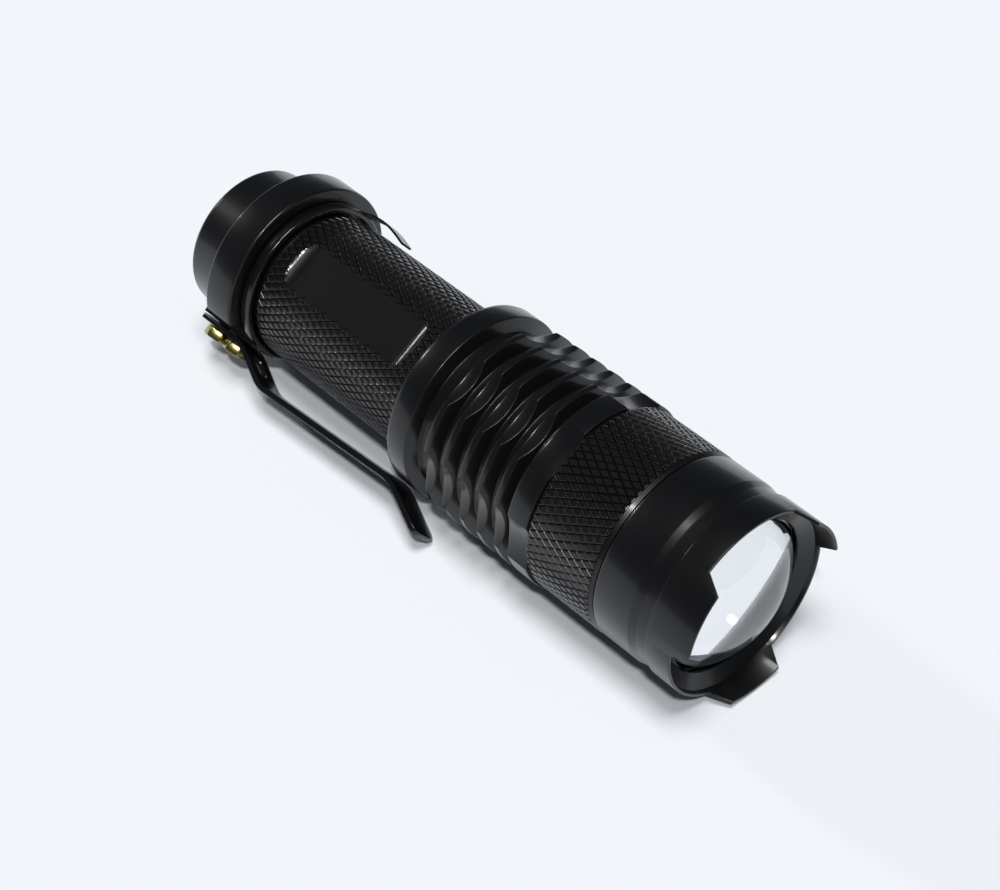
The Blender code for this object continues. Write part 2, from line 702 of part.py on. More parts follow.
def make_clip_band():
    """Sheet ring round the tube's neck with a tab under the clip and a bowed tongue opposite."""
    band_front = BAND_REAR + BAND_LENGTH
    band = turned(
        "clip_band",
        [(BAND_REAR, BAND_R), (band_front, BAND_R)],
        [(BAND_REAR, BAND_BORE_R), (band_front, BAND_BORE_R)],
        SPRING_STEEL,
    )
    middle = TAB_INNER + SHEET / 2
    outline = ribbon([(TAB_REAR, middle), (band_front, middle)], SHEET)
    tab = plate("band_tab", outline, TAB_WIDTH, SIDE_VIEW, None, CLIP_ANGLE)
    start = BAND_REAR + BAND_LENGTH / 2
    seat = (BAND_BORE_R + BAND_R) / 2
    tongue_end = TUBE_R + FIT + TONGUE_SHEET
    path = []
    for index in range(ARC_POINTS + 1):
        share = index / ARC_POINTS
        chord = seat + (tongue_end - seat) * share
        path.append((start + TONGUE_LENGTH * share, chord + TONGUE_BOW * math.sin(math.pi * share)))
    tongue = plate(
        "band_tongue", ribbon(path, TONGUE_SHEET), TONGUE_WIDTH, SIDE_VIEW, None, CLIP_ANGLE + 180.0
    )
    join(band, tab, tongue)
    for index, station in enumerate(SCREW_STATIONS):
        seat_cone = radial_cylinder(
            f"tab_hole_{index}",
            station,
            TAB_INNER - SEAT_GAP,
            TAB_INNER + SHEET + SEAT_GAP,
            SCREW_HEAD_R + SEAT_GAP + NUT_FIT,
            SCREW_R + NUT_FIT,
            SMALL_SIDES,
        )
        cut(band, seat_cone)


def make_pocket_clip():
    """Bent spring-steel strip: flat base on the tab, a rise with a slot, a long arm and a flared tip."""
    base = CLIP_INNER + CLIP_SHEET / 2
    rise_end = CLIP_RISE_AT + CLIP_RISE_LENGTH
    path = [
        (TAB_REAR, base),
        (CLIP_RISE_AT, base),
        (rise_end - CLIP_BEND, CLIP_STAND_OFF - CLIP_SHEET),
        (rise_end + CLIP_BEND, CLIP_STAND_OFF),
        (CLIP_PINCH_AT - CLIP_SHEET, CLIP_PINCH),
        (CLIP_PINCH_AT + CLIP_SHEET, CLIP_PINCH),
        (CLIP_TIP_AT, CLIP_TIP),
    ]
    clip = plate("pocket_clip", ribbon(path, CLIP_SHEET), CLIP_WIDTH, SIDE_VIEW, SPRING_STEEL, CLIP_ANGLE)
    slot_at = CLIP_RISE_AT + CLIP_RISE_LENGTH / 2
    run = (SLOT_LENGTH - SLOT_WIDTH) / 2
    half_turn = [math.pi * k / ARC_POINTS for k in range(ARC_POINTS + 1)]
    outline = [
        (SLOT_WIDTH / 2 * math.cos(a), slot_at + run + SLOT_WIDTH / 2 * math.sin(a)) for a in half_turn
    ]
    outline += [
        (-SLOT_WIDTH / 2 * math.cos(a), slot_at - run - SLOT_WIDTH / 2 * math.sin(a)) for a in half_turn
    ]
    cut(clip, plate("clip_slot", outline, CLIP_STAND_OFF, FACE_VIEW, None, CLIP_ANGLE, CLIP_STAND_OFF))
    for index, station in enumerate(SCREW_STATIONS):
        hole = radial_cylinder(
            f"clip_hole_{index}",
            station,
            CLIP_INNER - SEAT_GAP,
            CLIP_OUTER + SEAT_GAP,
            SCREW_R + NUT_FIT,
            SCREW_R + NUT_FIT,
            SMALL_SIDES,
        )
        cut(clip, hole)


def make_clip_fasteners():
    """Countersunk screws up through the tab and the clip, each with a hexagon nut outside."""
    nut_inner = CLIP_OUTER + SEAT_GAP
    nut_outer = nut_inner + NUT_HEIGHT
    nut_corner_r = NUT_ACROSS_FLATS / 2 / math.cos(math.pi / 6)
    for place_name, station in zip(("rear", "front"), SCREW_STATIONS):
        screw = radial_cylinder(
            f"clip_screw_{place_name}",
            station,
            TAB_INNER + SHEET / 2,
            nut_outer + SEAT_GAP,
            SCREW_R,
            SCREW_R,
            SMALL_SIDES,
            SPRING_STEEL,
        )
        head = radial_cylinder(
            f"screw_head_{place_name}",
            station,
            TAB_INNER,
            TAB_INNER + SHEET,
            SCREW_HEAD_R,
            SCREW_R,
            SMALL_SIDES,
        )
        join(screw, head)
        nut = radial_cylinder(
            f"clip_nut_{place_name}", station, nut_inner, nut_outer, nut_corner_r, nut_corner_r, 6, BRASS
        )
        bore = radial_cylinder(
            f"nut_bore_{place_name}",
            station,
            nut_inner - SEAT_GAP,
            nut_outer + SEAT_GAP,
            SCREW_R + NUT_FIT,
            SCREW_R + NUT_FIT,
            SMALL_SIDES,
        )
        cut(nut, bore)


make_battery_tube()
make_zoom_head()
make_crown_bezel()
make_lens()
contact_rear = make_pill()
cell_tail = make_cell(contact_rear)
make_tail_cap()
make_switch()
make_tail_spring(cell_tail)
make_clip_band()
make_pocket_clip()
make_clip_fasteners()

# Lay the light on its side with the middle of its box over the origin
tilt = math.radians(CLIP_ANGLE)
tip_reach = (CLIP_TIP + CLIP_SHEET / 2) * math.sin(tilt) + CLIP_WIDTH / 2 * abs(math.cos(tilt))
AXIS.rotation_euler = (0.0, math.pi / 2, 0.0)
AXIS.location = (-TIP / 2, (tip_reach - AXIS_HEIGHT) / 2, AXIS_HEIGHT)
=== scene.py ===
"""Looks of a small zoom flashlight that lies on white paper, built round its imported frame.

Lengths are in millimetres in the light's own terms: a station along the axis from the tail end,
a distance from the axis, and an angle round it from the top towards the camera's side.
"""
import json
import math

import bpy
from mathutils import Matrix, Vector


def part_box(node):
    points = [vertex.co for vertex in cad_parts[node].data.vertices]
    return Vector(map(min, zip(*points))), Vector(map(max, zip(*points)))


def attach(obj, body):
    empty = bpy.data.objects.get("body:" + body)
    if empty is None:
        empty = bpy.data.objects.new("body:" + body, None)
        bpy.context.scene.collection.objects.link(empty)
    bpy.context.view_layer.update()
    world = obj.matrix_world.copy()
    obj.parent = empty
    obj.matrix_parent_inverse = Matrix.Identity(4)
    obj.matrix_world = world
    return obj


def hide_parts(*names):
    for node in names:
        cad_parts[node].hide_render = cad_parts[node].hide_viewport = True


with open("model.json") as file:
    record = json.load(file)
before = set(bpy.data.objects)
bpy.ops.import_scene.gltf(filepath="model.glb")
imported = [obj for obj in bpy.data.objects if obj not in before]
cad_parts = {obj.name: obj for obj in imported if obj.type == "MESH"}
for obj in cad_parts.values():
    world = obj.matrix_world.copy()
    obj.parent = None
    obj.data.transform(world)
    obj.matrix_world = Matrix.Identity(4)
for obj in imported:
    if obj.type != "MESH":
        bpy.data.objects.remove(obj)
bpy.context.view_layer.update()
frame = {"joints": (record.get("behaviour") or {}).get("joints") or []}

# ---------------------------------------------------------------------------------------------
# Battery tube: turned aluminium, 20.4 mm across, diamond-knurled from the clip band to the head.
# Two milled flats with round run-outs break the knurl; the front end is plain and slides in the head.
MM = 0.001
WELD = 0.0005
turn_joint = next(joint for joint in frame["joints"] if joint["name"] == "tail_turn")
AXIS = Vector((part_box("tail_cap")[0].x, turn_joint["pos_m"][1], turn_joint["pos_m"][2]))


def spot(station, distance, angle=0.0):
    """World place of a point given in the light's own terms."""
    turn = math.radians(angle)
    return AXIS + Vector((station, -distance * math.sin(turn), distance * math.cos(turn))) * MM


def place_of(vertex):
    """Station, distance and angle of a vertex."""
    out = (vertex.co - AXIS) / MM
    return out.x, math.hypot(out.y, out.z), math.degrees(math.atan2(-out.y, out.z))


def stations(node):
    """Rear and front end of a CAD piece."""
    return tuple(round((corner.x - AXIS.x) / MM, 3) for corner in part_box(node))


def rounded(corners, steps=4):
    """Points of an outline; a corner's third number is the radius that rounds it."""
    points = []
    for index, (x, y, radius) in enumerate(corners):
        here = Vector((x, y))
        if radius == 0:
            points.append(here)
            continue
        back = (Vector(corners[index - 1][:2]) - here).normalized()
        on = (Vector(corners[(index + 1) % len(corners)][:2]) - here).normalized()
        half = back.angle(on) / 2
        centre = here + (back + on).normalized() * radius / math.sin(half)
        start = here + back * radius / math.tan(half) - centre
        end = here + on * radius / math.tan(half) - centre
        for step in range(steps + 1):
            points.append(centre + start.slerp(end, step / steps).normalized() * radius)
    return points


def chain(name, points, angle=0.0):
    """A new object left in edit mode: one line of vertices through points of station and distance."""
    bpy.ops.object.select_all(action="DESELECT")
    bpy.ops.mesh.primitive_plane_add(size=MM, location=spot(*points[0], angle))
    piece = bpy.context.object
    piece.name = piece.data.name = name
    bpy.ops.object.transform_apply(location=True, rotation=False, scale=False)
    bpy.ops.object.mode_set(mode="EDIT")
    bpy.ops.mesh.select_mode(type="VERT")
    bpy.ops.mesh.select_all(action="SELECT")
    bpy.ops.mesh.merge(type="CENTER")
    for before, after in zip(points, points[1:]):
        move = spot(*after, angle) - spot(*before, angle)
        bpy.ops.mesh.extrude_vertices_move(TRANSFORM_OT_translate={"value": move})
    bpy.ops.mesh.select_all(action="SELECT")
    bpy.ops.mesh.remove_doubles(threshold=WELD * MM)
    bpy.ops.mesh.select_all(action="SELECT")
    return piece


def turned(name, points, sides, closed=True):
    """A turned piece: the outline, spun round the light's axis."""
    points = [tuple(point) for point in points]
    piece = chain(name, points + points[:1] if closed else points)
    bpy.ops.mesh.spin(steps=sides, angle=math.tau, center=AXIS, axis=(1, 0, 0), use_auto_merge=True)
    bpy.ops.mesh.select_all(action="SELECT")
    bpy.ops.mesh.remove_doubles(threshold=WELD * MM)
    bpy.ops.mesh.normals_make_consistent(inside=False)
    bpy.ops.object.mode_set(mode="OBJECT")
    return piece


def strip(name, outline, width, angle):
    """A flat-sided bar: a closed outline of station and distance, as wide as asked, at an angle."""
    points = [tuple(point) for point in outline]
    piece = chain(name, points + points[:1], angle)
    bpy.ops.mesh.edge_face_add()
    side = Vector((0, math.cos(math.radians(angle)), math.sin(math.radians(angle)))) * width * MM
    bpy.ops.transform.translate(value=-side / 2)
    bpy.ops.mesh.extrude_region_move(TRANSFORM_OT_translate={"value": side})
    bpy.ops.mesh.select_all(action="SELECT")
    bpy.ops.mesh.normals_make_consistent(inside=False)
    bpy.ops.object.mode_set(mode="OBJECT")
    return piece


def select_edges(piece, wanted):
    """Leave the piece in edit mode with the edges selected whose two ends pass the test."""
    bpy.ops.object.mode_set(mode="EDIT")
    bpy.ops.mesh.select_mode(type="EDGE")
    bpy.ops.mesh.select_all(action="DESELECT")
    bpy.ops.object.mode_set(mode="OBJECT")
    places = [place_of(vertex) for vertex in piece.data.vertices]
    for edge in piece.data.edges:
        edge.select = wanted(*(places[index] for index in edge.vertices))
    bpy.ops.object.mode_set(mode="EDIT")


def along_grid(one, other):
    """Whether an edge between two places runs straight along or straight round the light."""
    sweep = abs(one[2] - other[2])
    return abs(one[0] - other[0]) < 0.1 or min(sweep, 360 - sweep) < 0.1


def diamonds(rear, front, root, columns):
    """An open band of raised diamonds between crossed grooves; root is the grooves' distance."""
    diamond_length = 2.04
    bank, crown = (0.10, 0.16), (0.09, 0.045)
    rows = round((front - rear) / diamond_length)
    rings = [rear + (front - rear) * row / rows for row in range(rows + 1)]
    band = turned("diamonds", [(station, root) for station in rings], columns, closed=False)
    bpy.ops.object.mode_set(mode="EDIT")
    bpy.ops.mesh.select_all(action="SELECT")
    bpy.ops.mesh.poke(offset=root * (1 - math.cos(math.pi / columns)) * MM)
    select_edges(band, along_grid)
    bpy.ops.mesh.dissolve_edges(use_verts=False)
    bpy.ops.mesh.select_mode(type="FACE")
    bpy.ops.mesh.select_all(action="SELECT")
    bpy.ops.mesh.normals_make_consistent(inside=False)
    for inset, rise in (bank, crown):
        bpy.ops.mesh.inset(thickness=inset * MM, depth=rise * MM, use_individual=True)
    bpy.ops.object.mode_set(mode="OBJECT")
    return band


def knurl(piece, rear, front, root, columns):
    """Sew a knurled band into the gap of a turned piece, one bridge at each end."""
    end_reach = 0.3
    band = diamonds(rear, front, root, columns)
    bpy.ops.object.select_all(action="DESELECT")
    band.select_set(True)
    piece.select_set(True)
    bpy.context.view_layer.objects.active = piece
    bpy.ops.object.join()
    for station in (rear, front):
        bpy.ops.object.mode_set(mode="EDIT")
        bpy.ops.mesh.select_mode(type="EDGE")
        bpy.ops.mesh.select_all(action="DESELECT")
        bpy.ops.mesh.select_non_manifold()
        bpy.ops.object.mode_set(mode="OBJECT")
        for edge in piece.data.edges:
            ends = [place_of(piece.data.vertices[index])[0] for index in edge.vertices]
            edge.select = edge.select and all(abs(end - station) < end_reach for end in ends)
        bpy.ops.object.mode_set(mode="EDIT")
        bpy.ops.mesh.bridge_edge_loops()
        bpy.ops.mesh.select_all(action="SELECT")
        bpy.ops.mesh.normals_make_consistent(inside=False)
        bpy.ops.object.mode_set(mode="OBJECT")


def boolean(piece, cutter, operation="DIFFERENCE"):
    """Cut the piece with another object, or weld the two, and drop the other."""
    step = piece.modifiers.new(cutter.name, "BOOLEAN")
    step.operation = operation
    step.object = cutter
    bpy.context.view_layer.objects.active = piece
    bpy.ops.object.modifier_apply(modifier=step.name)
    bpy.data.objects.remove(cutter)


def dress(piece, material, body, slot, *nodes, angle=32):
    """Shade a finished piece, give it its material and hand it to the frame."""
    bpy.ops.object.select_all(action="DESELECT")
    piece.select_set(True)
    bpy.context.view_layer.objects.active = piece
    bpy.ops.object.shade_smooth_by_angle(angle=math.radians(angle))
    piece.data.materials.clear()
    piece.data.materials.append(material)
    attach(piece, body)
    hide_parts(*nodes)


def colour(code):
    """Linear colour of an sRGB hex code."""
    parts = [int(code[index:index + 2], 16) / 255 for index in (0, 2, 4)]
    return tuple(p / 12.92 if p <= 0.04045 else ((p + 0.055) / 1.055) ** 2.4 for p in parts) + (1.0,)


def add_node(material, kind, settings, links=()):
    """Add one shader node with its settings, and its links as pairs of input and source socket."""
    node = material.node_tree.nodes.new(kind)
    for key, value in settings.items():
        if key in node.inputs:
            node.inputs[key].default_value = value
        else:
            setattr(node, key, value)
    for key, source in links:
        material.node_tree.links.new(source, node.inputs[key])
    return node


def new_material(name, settings):
    """A node material with its shader's settings, and its object coordinates."""
    material = bpy.data.materials.new(name)
    material.use_nodes = True
    material.node_tree.nodes.clear()
    place = add_node(material, "ShaderNodeTexCoord", {}).outputs["Object"]
    shader = add_node(material, "ShaderNodeBsdfPrincipled", settings)
    add_node(material, "ShaderNodeOutputMaterial", {}, [("Surface", shader.outputs["BSDF"])])
    return material, place, shader


def grained(name, dark, light, rough, grain, bump, settings=()):
    """A finish with two close shades, uneven gloss and a fine grain; the grain's size is in mm."""
    cloud_size, grain_height = 6.0, 0.02
    material, place, shader = new_material(name, dict(settings))
    cloud = add_node(
        material, "ShaderNodeTexNoise", {"Scale": 1 / (cloud_size * MM), "Detail": 3.0}, [("Vector", place)]
    )
    fine = add_node(
        material, "ShaderNodeTexNoise", {"Scale": 1 / (grain * MM), "Detail": 2.0}, [("Vector", place)]
    )
    shade = add_node(material, "ShaderNodeMix", {"data_type": "RGBA"}, [("Factor", cloud.outputs["Fac"])])
    shade.inputs[6].default_value = colour(dark)
    shade.inputs[7].default_value = colour(light)
    gloss = add_node(
        material, "ShaderNodeMapRange", {"To Min": rough[0], "To Max": rough[1]},
        [("Value", fine.outputs["Fac"])],
    )
    relief = add_node(
        material, "ShaderNodeBump", {"Strength": bump, "Distance": grain_height * MM},
        [("Height", fine.outputs["Fac"])],
    )
    for key, source in (
        ("Base Color", shade.outputs[2]),
        ("Roughness", gloss.outputs["Result"]),
        ("Normal", relief.outputs["Normal"]),
    ):
        material.node_tree.links.new(source, shader.inputs[key])
    return material


# Anodised aluminium, dyed black and sealed: a satin near-black with a thin clear skin that draws sharp
# lines on the edges. The 0.12 mm grain is coarser than the real one, so that it shows.
SEALED_SKIN = {"Specular IOR Level": 0.27, "Coat Weight": 0.5, "Coat Roughness": 0.14, "Coat IOR": 1.36}
ANODISED = grained("black_anodised", "09090A", "0F0F0E", (0.28, 0.40), 0.12, 0.2, SEALED_SKIN)

TUBE_REAR, TUBE_FRONT = stations("battery_tube")
HEAD_REAR, NOSE_FRONT = stations("zoom_head")
TUBE_R, LEDGE_R, NECK_R, SLIDE_R, THREAD_R, CELL_BORE_R = 10.2, 10.0, 9.9, 9.6, 9.0, 7.5
NECK_REAR, KNURL_REAR, KNURL_FRONT = 12.0, 14.0, HEAD_REAR - 0.3
KNURL_ROOT, KNURL_COLUMNS, KNURL_GAP = 9.98, 56, 0.1
tube = turned(
    "looks_battery_tube",
    rounded([
        (KNURL_FRONT + KNURL_GAP, LEDGE_R, 0), (KNURL_FRONT + KNURL_GAP, SLIDE_R, 0),
        (TUBE_FRONT, SLIDE_R, 0.3), (TUBE_FRONT, CELL_BORE_R, 0),
        (TUBE_REAR, CELL_BORE_R, 0), (TUBE_REAR, THREAD_R, 0),
        (NECK_REAR, THREAD_R, 0), (NECK_REAR, NECK_R, 0.15),
        (KNURL_REAR - KNURL_GAP, NECK_R, 0), (KNURL_REAR - KNURL_GAP, LEDGE_R, 0),
    ]),
    4 * KNURL_COLUMNS,
    closed=False,
)
knurl(tube, KNURL_REAR, KNURL_FRONT, KNURL_ROOT, KNURL_COLUMNS)

FLAT_ANGLE, FLAT_REAR, FLAT_FRONT, FLAT_DEPTH, RUN_OUT = 30.0, 16.1, 39.2, 0.65, 1.8
MILL_R = (RUN_OUT ** 2 + FLAT_DEPTH ** 2) / (2 * FLAT_DEPTH)
MILL_HEIGHT, MILL_WIDTH, MILL_STEPS = 2.0, 16.0, 12
flat_floor = TUBE_R - FLAT_DEPTH
mill_reach = math.acos((MILL_R - MILL_HEIGHT) / MILL_R)
run = []
for step in range(MILL_STEPS + 1):
    sweep = mill_reach * step / MILL_STEPS
    run.append((MILL_R * math.sin(sweep), flat_floor + MILL_R * (1 - math.cos(sweep))))
mill_front = [(FLAT_FRONT - RUN_OUT + x, y) for x, y in run]
mill_rear = [(FLAT_REAR + RUN_OUT - x, y) for x, y in reversed(run)]
for angle in (FLAT_ANGLE, FLAT_ANGLE + 180):
    boolean(tube, strip("mill", mill_front + mill_rear, MILL_WIDTH, angle))
dress(tube, ANODISED, "tube", "black_anodised", "battery_tube")

# ---------------------------------------------------------------------------------------------
# Zoom head: turned aluminium sleeve, 25.8 mm across, with a rear ring, five cooling fins, a front
# ring and a knurled grip. Six shallow scallops run through the fins and the front ring.
FIN_R, GROOVE_R, FLANK, FOOT_ROUND = 12.9, 11.2, 0.65, 0.12
REAR_RING_FRONT = HEAD_REAR + 3.3
FIRST_FIN, FIN_PITCH, FIN_LAND, FIN_COUNT = REAR_RING_FRONT + 2.5, 3.04, 0.85, 5
FRONT_RING = FIRST_FIN + FIN_COUNT * FIN_PITCH
FRONT_RING_END = FRONT_RING + 3.2
BREAK_DEPTH, BREAK_LENGTH = 0.08, 0.28
GRIP_REAR, GRIP_FRONT, GRIP_ROOT, GRIP_COLUMNS = FRONT_RING_END + 0.15, 77.0, 12.36, 72
SHOULDER, SHOULDER_R, NOSE_R = 77.5, 12.31, 11.0
SLIDE_BORE_R, NOSE_BORE_R, NOSE_BORE_REAR = SLIDE_R + 0.25, 9.75, 76.45


def ring_edge(foot):
    """Rear flank of a fin or ring, with its worn edge, from its foot outwards."""
    return [
        (foot, GROOVE_R, FOOT_ROUND),
        (foot + FLANK, FIN_R - BREAK_DEPTH, 0.05),
        (foot + FLANK + BREAK_LENGTH, FIN_R, 0),
    ]


fins = []
for index in range(FIN_COUNT):
    foot = FIRST_FIN + FIN_PITCH * index
    fins += ring_edge(foot) + [
        (foot + FLANK + FIN_LAND, FIN_R, 0.12), (foot + 2 * FLANK + FIN_LAND, GROOVE_R, FOOT_ROUND),
    ]
head = turned(
    "looks_zoom_head",
    rounded(
        [
            (GRIP_FRONT + 0.03, SHOULDER_R + 0.25, 0), (SHOULDER, SHOULDER_R, 0), (SHOULDER, NOSE_R, 0),
            (NOSE_FRONT, NOSE_R, 0), (NOSE_FRONT, NOSE_BORE_R, 0),
            (NOSE_BORE_REAR, NOSE_BORE_R, 0), (NOSE_BORE_REAR, SLIDE_BORE_R, 0),
            (HEAD_REAR, SLIDE_BORE_R, 0.3), (HEAD_REAR, FIN_R - 2 * BREAK_DEPTH, 0.08),
            (HEAD_REAR + 0.55, FIN_R, 0), (REAR_RING_FRONT, FIN_R, 0.2),
            (REAR_RING_FRONT + FLANK, GROOVE_R, FOOT_ROUND),
        ]
        + fins
        + ring_edge(FRONT_RING - FLANK)
        + [(FRONT_RING_END, FIN_R, 0.14), (FRONT_RING_END, GRIP_ROOT - 0.01, 0)],
    ),
    4 * GRIP_COLUMNS,
    closed=False,
)

SCALLOP_FLOOR, SCALLOP_HALF, SCALLOP_PITCH = 11.75, math.radians(15), math.radians(60)
FIN_TOP = 0.4
bar_at = (FIN_R ** 2 - SCALLOP_FLOOR ** 2) / (2 * (FIN_R * math.cos(SCALLOP_HALF) - SCALLOP_FLOOR))
bar_r = bar_at - SCALLOP_FLOOR
lean = FLANK / (FIN_R - GROOVE_R)
first_middle = FIRST_FIN + FLANK + FIN_LAND / 2
for vertex in head.data.vertices:
    station, distance, angle = place_of(vertex)
    off = (math.radians(angle) - SCALLOP_PITCH / 2) % SCALLOP_PITCH
    off = min(off, SCALLOP_PITCH - off)
    on_top = FIRST_FIN < station < GRIP_REAR and distance >= FIN_R - FIN_TOP
    if not on_top or off >= SCALLOP_HALF:
        continue
    drop = FIN_R - bar_at * math.cos(off) + math.sqrt(bar_r ** 2 - (bar_at * math.sin(off)) ** 2)
    if station > FRONT_RING - FLANK:
        middle, front_lean = (FRONT_RING + FRONT_RING_END) / 2, 0.0
    else:
        middle = first_middle + FIN_PITCH * round((station - first_middle) / FIN_PITCH)
        front_lean = lean
    slope = front_lean if station > middle else -lean
    vertex.co = spot(station + drop * slope, distance - drop, angle)
knurl(head, GRIP_REAR, GRIP_FRONT, GRIP_ROOT, GRIP_COLUMNS)
dress(head, ANODISED, "head", "black_anodised", "zoom_head", angle=26)

# Bare turned aluminium in the nose's bore: a pale metal that lights up the lens from behind. Its
# 0.2 mm grain stands for finer turning marks.
BARE = grained("bare_aluminium", "B4B6BA", "C8CACD", (0.25, 0.40), 0.2, 0.2, {"Metallic": 1.0})
head.data.materials.append(BARE)
BORE_SLACK = 0.05
for face in head.data.polygons:
    places = [place_of(head.data.vertices[index]) for index in face.vertices]
    if all(
        station > NOSE_BORE_REAR - BORE_SLACK and distance < SLIDE_BORE_R + BORE_SLACK
        for station, distance, angle in places
    ):
        face.material_index = 1

# ---------------------------------------------------------------------------------------------
# Crown bezel: smooth turned ring, 25 mm across, screwed on the head's nose over the lens. A thin step
# runs round it and three broad flat teeth stand out at the front.
BEZEL_REAR, CROWN_FRONT = stations("crown_bezel")
TOOTH_HEIGHT, TOOTH_HALF, TOOTH_RAMP, TOOTH_PITCH = 2.6, 26.25, 7.5, 120
VALLEY = CROWN_FRONT - TOOTH_HEIGHT
BEZEL_R, BEZEL_BORE_R, RIM_R, MOUTH_R, LIP_R = 12.5, 11.25, 12.15, 11.95, 10.3
LIP_REAR, LIP_FRONT, MOUTH = VALLEY - 1.9, VALLEY - 1.6, VALLEY - 0.5
COVE_REAR, COVE_MIDDLE, COVE_FRONT = BEZEL_REAR + 5.6, BEZEL_REAR + 6.6, BEZEL_REAR + 8.3
bezel = turned(
    "looks_crown_bezel",
    rounded([
        (BEZEL_REAR, BEZEL_BORE_R, 0), (BEZEL_REAR, BEZEL_R - 0.1, 0.05), (BEZEL_REAR + 0.35, BEZEL_R, 0),
        (COVE_REAR, BEZEL_R, 0.8), (COVE_MIDDLE, BEZEL_R - 0.24, 1.6), (COVE_FRONT, BEZEL_R - 0.3, 0),
        (COVE_FRONT, BEZEL_R, 0.12), (VALLEY, BEZEL_R, 0.1), (VALLEY, RIM_R, 0.08),
        (MOUTH, MOUTH_R, 0.15), (LIP_FRONT, LIP_R, 0.15),
        (LIP_REAR, LIP_R, 0.1), (LIP_REAR, BEZEL_BORE_R, 0),
    ]),
    288,
)
RIM_LENGTH = 0.2
for vertex in bezel.data.vertices:
    station, distance, angle = place_of(vertex)
    off = abs(angle % TOOTH_PITCH - TOOTH_PITCH / 2)
    if station > VALLEY - RIM_LENGTH:
        share = min(max((TOOTH_HALF - off) / TOOTH_RAMP, 0), 1)
        vertex.co.x += TOOTH_HEIGHT * share * MM
dress(bezel, ANODISED, "head", "black_anodised", "crown_bezel")

# ---------------------------------------------------------------------------------------------
# Lens: one clear aspheric block 21.5 mm across, flat at the back and domed at the front, with a thin
# rim that the bezel's lip holds.
LENS_REAR = stations("lens")[0]
LENS_LIP = LIP_REAR - 0.2
LENS_RIM_REAR = LENS_LIP - 1.8
LENS_RIM_R, LENS_BACK_R = 10.75, 9.2
DOME_R, DOME_FOOT_R, DOME_STEPS = 13.68, 10.05, 20
dome_sweep = math.asin(DOME_FOOT_R / DOME_R)
dome = []
for step in range(DOME_STEPS + 1):
    sweep = dome_sweep * step / DOME_STEPS
    dome.append((LENS_LIP + DOME_R * (math.cos(sweep) - math.cos(dome_sweep)), DOME_R * math.sin(sweep)))
lens = turned(
    "looks_lens",
    dome + rounded([
        (LENS_LIP, DOME_FOOT_R, 0), (LENS_LIP, LENS_RIM_R, 0.1), (LENS_RIM_REAR, LENS_RIM_R, 0.1),
        (LENS_RIM_REAR, LENS_BACK_R, 0), (LENS_REAR, LENS_BACK_R, 0.2), (LENS_REAR, 0, 0),
    ])[1:],
    144,
    closed=False,
)
# Moulded acrylic, polished: clear with a faint cool tint, sharp highlights and a bent view of the bore.
GLASS, _, _ = new_material(
    "clear_lens",
    {"Base Color": colour("FBFDFF"), "Roughness": 0.02, "IOR": 1.49, "Transmission Weight": 1.0},
)
dress(lens, GLASS, "head", "clear_lens", "lens", angle=40)

# ---------------------------------------------------------------------------------------------
# Tail cap: smooth turned cap, 20 mm across, with a broad collar 25.8 mm across that is flat under the
# clip. Its end is open for the rubber button.
CAP_REAR, COLLAR_FRONT = stations("tail_cap")
COLLAR_REAR, POCKET_REAR = 7.0, CAP_REAR + 1.5
CAP_R, COLLAR_R, POCKET_R, BUTTON_HOLE_R = 10.0, 12.9, 8.6, 6.2
THREAD_BORE_R = THREAD_R + 0.25
cap = turned(
    "looks_tail_cap",
    rounded([
        (CAP_REAR, BUTTON_HOLE_R, 0.2), (CAP_REAR, CAP_R, 0.7), (COLLAR_REAR, CAP_R, 0.3),
        (COLLAR_REAR, COLLAR_R, 0.35), (COLLAR_FRONT, COLLAR_R, 0.35), (COLLAR_FRONT, THREAD_BORE_R, 0.15),
        (COLLAR_REAR, THREAD_BORE_R, 0), (COLLAR_REAR, POCKET_R, 0),
        (POCKET_REAR, POCKET_R, 0), (POCKET_REAR, BUTTON_HOLE_R, 0.1),
    ]),
    224,
)
CLIP_ANGLE, COLLAR_FLAT = 128.0, 10.45
cut_rear, cut_front, cut_out, cut_width = COLLAR_REAR - 0.1, COLLAR_FRONT + 0.15, 20.0, 26.0
collar_cut = [
    (cut_rear, COLLAR_FLAT), (cut_front, COLLAR_FLAT), (cut_front, cut_out), (cut_rear, cut_out),
]
boolean(cap, strip("collar_flat", collar_cut, cut_width, CLIP_ANGLE))
dress(cap, ANODISED, "tail", "black_anodised", "tail_cap")

# ---------------------------------------------------------------------------------------------
# Switch boot: black rubber button in the tail cap's hole, 12 mm across, with a rounded edge, a shallow
# dish in its end and a flange inside.
BOOT_REAR, BOOT_FRONT = stations("switch_boot")
BUTTON_R, FLANGE_R, BOOT_WALL, FLANGE_LENGTH = 5.95, 8.35, 1.1, 1.0
FLANGE_REAR = BOOT_FRONT - FLANGE_LENGTH
DISH = [(0.35, 0.0), (0.32, 1.5), (0.22, 2.8), (0.08, 3.8), (0.0, 4.4)]
boot = turned(
    "looks_switch_boot",
    [(BOOT_REAR + depth, distance) for depth, distance in DISH]
    + rounded([
        (BOOT_REAR, DISH[-1][1], 0), (BOOT_REAR, BUTTON_R, 0.6), (FLANGE_REAR, BUTTON_R, 0.1),
        (FLANGE_REAR, FLANGE_R, 0.1), (BOOT_FRONT, FLANGE_R, 0.1), (BOOT_FRONT, BUTTON_R - BOOT_WALL, 0),
        (BOOT_REAR + BOOT_WALL, BUTTON_R - BOOT_WALL, 0), (BOOT_REAR + BOOT_WALL, 0, 0),
    ])[1:],
    96,
    closed=False,
)
